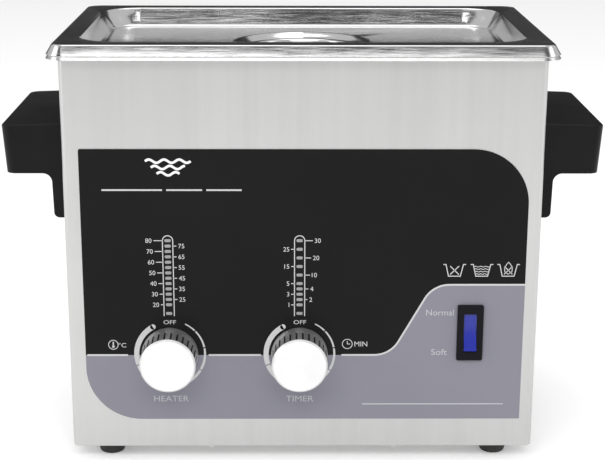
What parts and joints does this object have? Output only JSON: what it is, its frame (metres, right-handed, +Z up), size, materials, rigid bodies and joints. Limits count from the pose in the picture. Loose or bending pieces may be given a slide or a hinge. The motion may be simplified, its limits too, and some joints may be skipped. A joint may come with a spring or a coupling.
{
  "type": "ultrasonic cleaner",
  "caption": "Bench ultrasonic cleaner: stainless casing and drawn tank with recessed lid, side handles, printed front with two knobs, light scales and a rocker switch.",
  "frame": {"origin": "bottom centre of the whole object's box, on the surface that the feet stand on", "axes": "+X to the right seen from the front, handle to handle; -Y out of the front with the knobs; +Z up"},
  "size_m": [0.3276, 0.178, 0.2327],
  "materials": {
    "casing_steel": "fine vertical brushed stainless sheet",
    "tank_steel": "satin drawn stainless sheet",
    "lid_steel": "bright drawn stainless sheet",
    "screw_steel": "bright zinc or nickel plated",
    "foot_rubber": "matt",
    "gasket_silicone": "matt",
    "pad_silicone": "matt",
    "handle_plastic": "fine moulded texture",
    "switch_plastic": "satin moulded",
    "relay_plastic": "satin moulded",
    "overlay_film": "satin polycarbonate film, printed from behind",
    "light_bar": "frosted",
    "led_body": "diffused",
    "rocker_blue": "translucent gloss",
    "knob_plated": "turned face, satin skirt",
    "brass": "turned",
    "copper": "rolled copper foil",
    "circuit_board": "solder mask",
    "aluminium": "turned or extruded",
    "piezo_ceramic": "ground, silvered faces",
    "ferrite": "sintered",
    "winding_tape": "polyester tape",
    "epoxy": "cast",
    "lead_pvc": "soft",
    "earth_pvc": "soft",
    "ribbon_pvc": "soft"
  },
  "bodies": {
    "housing": {"casing_shell": "casing_steel", "bottom_plate": "casing_steel", "bottom_plate_screws": "screw_steel", "rubber_feet": "foot_rubber", "foot_screws": "screw_steel", "foot_nuts": "screw_steel", "tank": "tank_steel", "tank_gasket": "gasket_silicone", "left_handle": "handle_plastic", "right_handle": "handle_plastic", "handle_inserts": "brass", "handle_screws": "screw_steel", "front_overlay": "overlay_film", "scale_light_bars": "light_bar", "scale_leds": "led_body", "control_board": "circuit_board", "control_board_pillars": "brass", "board_screws": "screw_steel", "pot_bodies": "switch_plastic", "pot_nuts": "screw_steel", "mode_switch_housing": "switch_plastic", "mode_switch_terminals": "brass", "inlet_housing": "switch_plastic", "inlet_pins": "brass", "inlet_screws": "screw_steel", "bond_layers": "epoxy", "transducer_front_masses": "aluminium", "piezo_rings": "piezo_ceramic", "electrodes": "copper", "transducer_rear_masses": "screw_steel", "prestress_bolts": "screw_steel", "heating_pad": "pad_silicone", "overheat_thermostat": "switch_plastic", "generator_board": "circuit_board", "generator_pillars": "brass", "transformer_core": "ferrite", "transformer_coil": "winding_tape", "heatsink": "aluminium", "power_transistors": "switch_plastic", "capacitors": "aluminium", "relay": "relay_plastic", "fan_frame": "switch_plastic", "fan_screws": "screw_steel", "mains_leads": "lead_pvc", "earth_lead": "earth_pvc", "transducer_leads": "lead_pvc", "control_ribbon": "ribbon_pvc"},
    "lid": {"lid_pan": "lid_steel", "lid_grip_bar": "lid_steel"},
    "heater_control": {"heater_shaft": "screw_steel", "heater_knob_hub": "brass", "heater_knob": "knob_plated"},
    "timer_control": {"timer_shaft": "screw_steel", "timer_knob_hub": "brass", "timer_knob": "knob_plated"},
    "rocker": {"mode_rocker": "rocker_blue"},
    "drawer": {"fuse_drawer": "switch_plastic", "fuse": "screw_steel"},
    "fan": {"fan_rotor": "switch_plastic"}
  },
  "joints": [
    {"name": "lid_lift", "type": "slide", "parent": "housing", "child": "lid", "axis": [0, 0, 1], "range_m": [0, 0.06]},
    {"name": "heater_knob_turn", "type": "hinge", "parent": "housing", "child": "heater_control", "pos_m": [-0.0725, -0.0695, 0.0628], "axis": [0, 1, 0], "range_deg": [0, 300]},
    {"name": "timer_knob_turn", "type": "hinge", "parent": "housing", "child": "timer_control", "pos_m": [-0.0019, -0.0695, 0.0628], "axis": [0, 1, 0], "range_deg": [0, 300]},
    {"name": "mode_rocker_tilt", "type": "hinge", "parent": "housing", "child": "rocker", "pos_m": [0.0909, -0.069, 0.0753], "axis": [1, 0, 0], "range_deg": [0, 20]},
    {"name": "fuse_drawer_slide", "type": "slide", "parent": "housing", "child": "drawer", "axis": [0, 1, 0], "range_m": [0, 0.018]},
    {"name": "fan_spin", "type": "hinge", "parent": "housing", "child": "fan", "pos_m": [0.07, 0.0725, 0.058], "axis": [0, 1, 0], "continuous": true}
  ]
}
